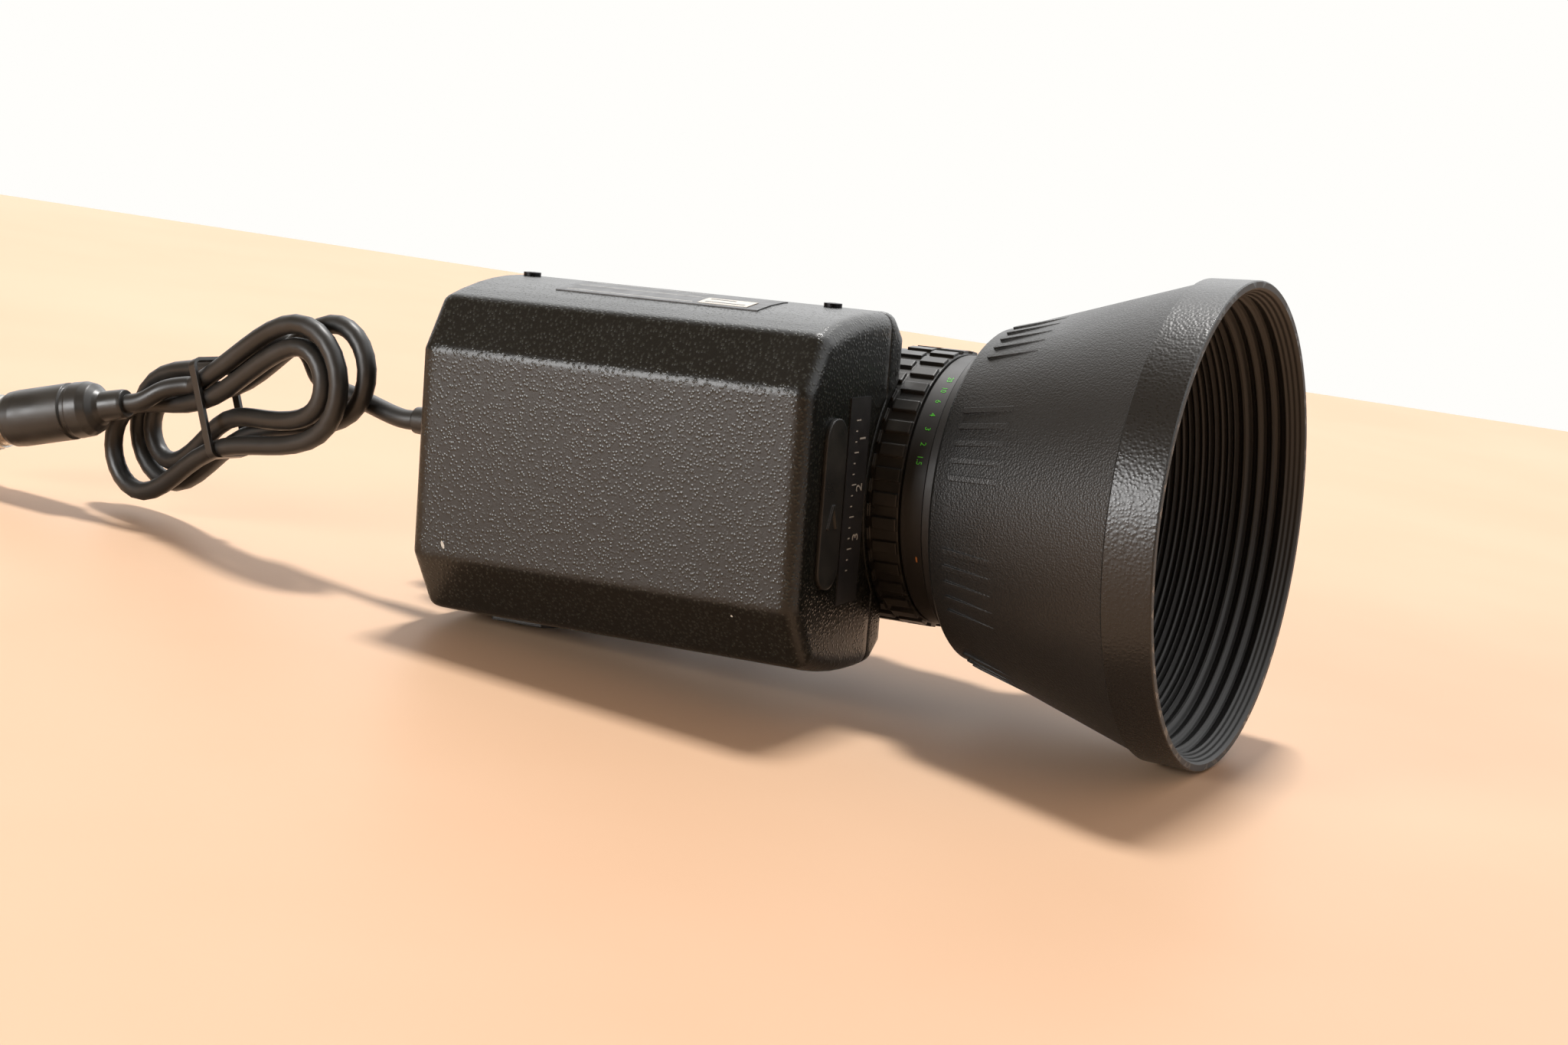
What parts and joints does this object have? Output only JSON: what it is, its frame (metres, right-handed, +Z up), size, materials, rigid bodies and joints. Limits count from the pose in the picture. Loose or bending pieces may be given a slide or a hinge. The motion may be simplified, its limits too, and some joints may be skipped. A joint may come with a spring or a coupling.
{
  "type": "zoom lens with side drive unit",
  "caption": "Zoom lens with a side drive unit: bayonet mount, geared iris, zoom and focus rings, a deep cone hood, and a tied cable with a round plug.",
  "frame": {"origin": "centre of the lens mount's face, on the lens axis", "axes": "+X along the lens axis towards the subject, +Z up with the drive unit on the -Y side"},
  "size_m": [0.3636, 0.1315, 0.1194],
  "materials": {
    "case_plastic": "satin black moulded plastic with a fine pebble texture",
    "hood_plastic": "satin black moulded plastic, glossier at the rim",
    "black_anodised": "black anodised aluminium, satin",
    "band_black": "black anodised aluminium, smooth, with small coloured index marks",
    "black_rubber": "black rubber, dull",
    "mount_metal": "bright plated brass, turned",
    "screw_steel": "steel screws",
    "black_screw": "blackened steel screws",
    "coated_glass": "polished glass with a bluish coating",
    "label_black": "plain dark label foil",
    "label_white": "plain white sticker",
    "board_green": "green circuit board with black components",
    "switch_grey": "light grey switch sliders",
    "motor_steel": "plated steel motor cans and brackets",
    "gear_brass": "brass gears",
    "cable_black": "black cable sheath, smooth and slightly shiny",
    "plug_metal": "matt nickel plated plug shell",
    "insert_black": "black plug insert with its pins"
  },
  "bodies": {
    "lens_body": {"main_barrel": "black_anodised", "bayonet_mount": "mount_metal", "mount_screws": "screw_steel", "index_ring": "black_anodised", "rear_clamp_ring": "black_anodised", "front_clamp_ring": "black_anodised", "name_band": "band_black", "front_ring": "black_anodised", "front_cell": "black_anodised", "front_element": "coated_glass", "front_retaining_ring": "black_anodised", "iris_housing": "black_anodised", "relay_glass": "coated_glass", "drive_cover": "case_plastic", "drive_back_cover": "case_plastic", "cover_screws": "black_screw", "top_label": "label_black", "top_sticker": "label_white", "front_label": "label_black", "bottom_pad": "black_rubber", "circuit_board": "board_green", "switch_block": "insert_black", "servo_motors": "motor_steel", "motor_brackets": "motor_steel", "cable_gland": "black_rubber", "cable_lead": "cable_black", "cable_hank": "cable_black", "cable_tail": "cable_black", "cable_tie": "cable_black", "plug_boot": "black_rubber", "plug_shell": "plug_metal", "plug_insert": "insert_black"},
    "flange_back": {"flange_back_ring": "black_anodised"},
    "lock_screw": {"lock_screw": "black_anodised"},
    "rear_group": {"rear_cell": "black_anodised", "rear_glass": "coated_glass"},
    "iris_ring": {"iris_ring": "black_anodised"},
    "iris_idler": {"iris_idler": "gear_brass"},
    "iris_pinion": {"iris_pinion": "gear_brass"},
    "zoom_ring": {"zoom_ring": "black_anodised"},
    "zoom_idler": {"zoom_idler": "gear_brass"},
    "zoom_pinion": {"zoom_pinion": "gear_brass"},
    "variator": {"variator_cell": "black_anodised", "variator_glass": "coated_glass"},
    "compensator": {"compensator_cell": "black_anodised", "compensator_glass": "coated_glass"},
    "focus_ring": {"focus_ring": "black_anodised", "focus_grip": "black_rubber"},
    "focus_idler": {"focus_idler": "gear_brass"},
    "focus_pinion": {"focus_pinion": "gear_brass"},
    "focus_group": {"focus_cell": "black_anodised", "focus_glass": "coated_glass"},
    "focus_switch": {"focus_switch": "switch_grey"},
    "zoom_switch": {"zoom_switch": "switch_grey"},
    "iris_switch": {"iris_switch": "switch_grey"},
    "mode_plug": {"mode_plug": "black_rubber"},
    "hood": {"hood": "hood_plastic"},
    "plug_collar": {"plug_collar": "plug_metal"}
  },
  "joints": [
    {"name": "focus_turn", "type": "hinge", "parent": "lens_body", "child": "focus_ring", "pos_m": [0, 0, 0], "axis": [1, 0, 0], "range_deg": [0, 120]},
    {"name": "focus_idler_turn", "type": "hinge", "parent": "lens_body", "child": "focus_idler", "pos_m": [0, -0.03988, 0.0186], "axis": [1, 0, 0], "range_deg": [-480, 0]},
    {"name": "focus_pinion_turn", "type": "hinge", "parent": "lens_body", "child": "focus_pinion", "pos_m": [0, -0.05293, 0.02468], "axis": [1, 0, 0], "range_deg": [0, 754.5]},
    {"name": "focus_slide", "type": "slide", "parent": "lens_body", "child": "focus_group", "axis": [1, 0, 0], "range_m": [0, 0.008]},
    {"name": "zoom_turn", "type": "hinge", "parent": "lens_body", "child": "zoom_ring", "pos_m": [0, 0, 0], "axis": [1, 0, 0], "range_deg": [0, 90]},
    {"name": "zoom_idler_turn", "type": "hinge", "parent": "lens_body", "child": "zoom_idler", "pos_m": [0, -0.044, 0], "axis": [1, 0, 0], "range_deg": [-360, 0]},
    {"name": "zoom_pinion_turn", "type": "hinge", "parent": "lens_body", "child": "zoom_pinion", "pos_m": [0, -0.0584, 0], "axis": [1, 0, 0], "range_deg": [0, 566]},
    {"name": "variator_slide", "type": "slide", "parent": "lens_body", "child": "variator", "axis": [1, 0, 0], "range_m": [0, 0.028]},
    {"name": "compensator_slide", "type": "slide", "parent": "lens_body", "child": "compensator", "axis": [1, 0, 0], "range_m": [-0.004, 0]},
    {"name": "iris_turn", "type": "hinge", "parent": "lens_body", "child": "iris_ring", "pos_m": [0, 0, 0], "axis": [1, 0, 0], "range_deg": [0, 60]},
    {"name": "iris_idler_turn", "type": "hinge", "parent": "lens_body", "child": "iris_idler", "pos_m": [0, -0.03988, -0.0186], "axis": [1, 0, 0], "range_deg": [-240, 0]},
    {"name": "iris_pinion_turn", "type": "hinge", "parent": "lens_body", "child": "iris_pinion", "pos_m": [0, -0.05293, -0.02468], "axis": [1, 0, 0], "range_deg": [0, 377.5]},
    {"name": "flange_back_turn", "type": "hinge", "parent": "lens_body", "child": "flange_back", "pos_m": [0, 0, 0], "axis": [1, 0, 0], "range_deg": [-25, 25]},
    {"name": "rear_slide", "type": "slide", "parent": "lens_body", "child": "rear_group", "axis": [1, 0, 0], "range_m": [-0.0006, 0.0006]},
    {"name": "lock_screw_turn", "type": "hinge", "parent": "flange_back", "child": "lock_screw", "pos_m": [0.0112, 0, 0], "axis": [0, 0.7071, 0.7071], "range_deg": [0, 540]},
    {"name": "focus_switch_slide", "type": "slide", "parent": "lens_body", "child": "focus_switch", "axis": [0, 0, 1], "range_m": [-0.0015, 0.0015]},
    {"name": "zoom_switch_slide", "type": "slide", "parent": "lens_body", "child": "zoom_switch", "axis": [0, 0, 1], "range_m": [-0.0015, 0.0015]},
    {"name": "iris_switch_slide", "type": "slide", "parent": "lens_body", "child": "iris_switch", "axis": [0, 0, 1], "range_m": [-0.0015, 0.0015]},
    {"name": "mode_plug_pull", "type": "slide", "parent": "lens_body", "child": "mode_plug", "axis": [1, 0, 0], "range_m": [0, 0.008]},
    {"name": "hood_turn", "type": "hinge", "parent": "lens_body", "child": "hood", "pos_m": [0, 0, 0], "axis": [1, 0, 0], "range_deg": [0, 55]},
    {"name": "plug_collar_slide", "type": "slide", "parent": "lens_body", "child": "plug_collar", "axis": [-0.965, -0.1407, -0.2212], "range_m": [-0.0028, 0], "stiffness_N_per_m": 300}
  ],
  "couplings": [
    {"joint": "focus_idler_turn", "follows": "focus_turn", "ratio": -4},
    {"joint": "focus_pinion_turn", "follows": "focus_turn", "ratio": 6.2857},
    {"joint": "focus_slide", "follows": "focus_turn", "m_per_rad": 0.0038197},
    {"joint": "zoom_idler_turn", "follows": "zoom_turn", "ratio": -4},
    {"joint": "zoom_pinion_turn", "follows": "zoom_turn", "ratio": 6.2857},
    {"joint": "variator_slide", "follows": "zoom_turn", "m_per_rad": 0.017825},
    {"joint": "compensator_slide", "follows": "zoom_turn", "m_per_rad": -0.0025465},
    {"joint": "iris_idler_turn", "follows": "iris_turn", "ratio": -4},
    {"joint": "iris_pinion_turn", "follows": "iris_turn", "ratio": 6.2857},
    {"joint": "rear_slide", "follows": "flange_back_turn", "m_per_rad": 0.0013751}
  ]
}
